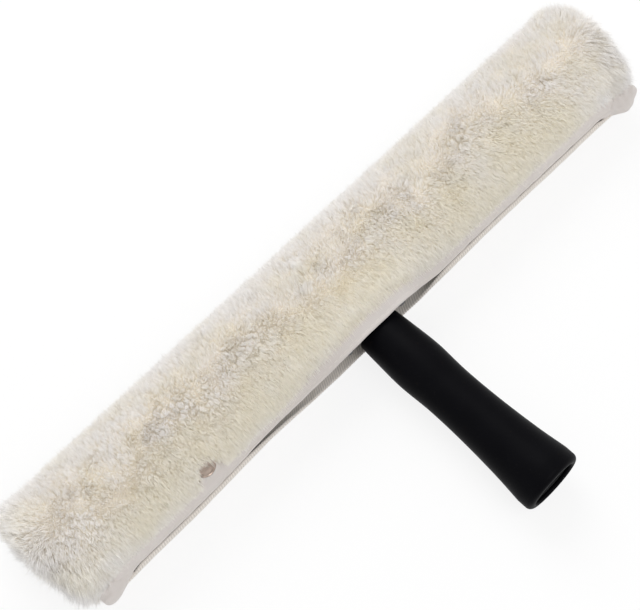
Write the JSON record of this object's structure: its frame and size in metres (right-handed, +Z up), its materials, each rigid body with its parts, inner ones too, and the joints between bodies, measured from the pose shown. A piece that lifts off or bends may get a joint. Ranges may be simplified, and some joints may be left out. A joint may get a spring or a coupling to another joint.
{
  "type": "window scrubber",
  "caption": "Window scrubber: thick cream plush sleeve closed by a press snap, worn by a T-shaped bar whose black flared grip has a socket for a pole.",
  "frame": {"origin": "middle of the bottom of the bounding box, on the floor that the sleeve's flat back and the grip's rim lie on", "axes": "+X along the sleeve towards its right end, -Y along the handle towards the grip's mouth, +Z up through the sleeve's plush front"},
  "size_m": [0.355, 0.1596, 0.0386],
  "materials": {
    "bar_aluminium": "mill-finish extrusion",
    "black_plastic": "moulded, matte",
    "black_rubber": "smooth soft rubber, low sheen",
    "black_steel": "black oxide",
    "cream_pile": "long cream plush pile",
    "cotton_tape": "undyed cotton twill tape",
    "nickel": "worn nickel plate"
  },
  "bodies": {
    "t_bar": {"crossbar": "bar_aluminium", "end_plug_left": "black_plastic", "end_plug_right": "black_plastic", "handle_yoke": "black_plastic", "grip": "black_rubber", "yoke_screws": "black_steel", "yoke_washers": "black_steel", "nut_plate": "black_steel"},
    "sleeve": {"pile_sleeve": "cream_pile", "front_hem_tape": "cotton_tape", "rear_hem_tape": "cotton_tape", "corner_tab_left": "cotton_tape", "corner_tab_right": "cotton_tape", "snap_tongue": "cotton_tape", "snap_stud": "nickel", "snap_rivet": "nickel"},
    "snap_half": {"snap_cap": "nickel", "snap_socket": "nickel", "snap_spring": "nickel"}
  },
  "joints": [
    {"name": "sleeve_shift", "type": "slide", "parent": "t_bar", "child": "sleeve", "axis": [1, 0, 0], "range_m": [-0.003, 0.003]},
    {"name": "snap_open", "type": "slide", "parent": "sleeve", "child": "snap_half", "axis": [0, -0.8192, 0.5736], "range_m": [0, 0.005], "deforming": ["front_hem_tape"]}
  ]
}
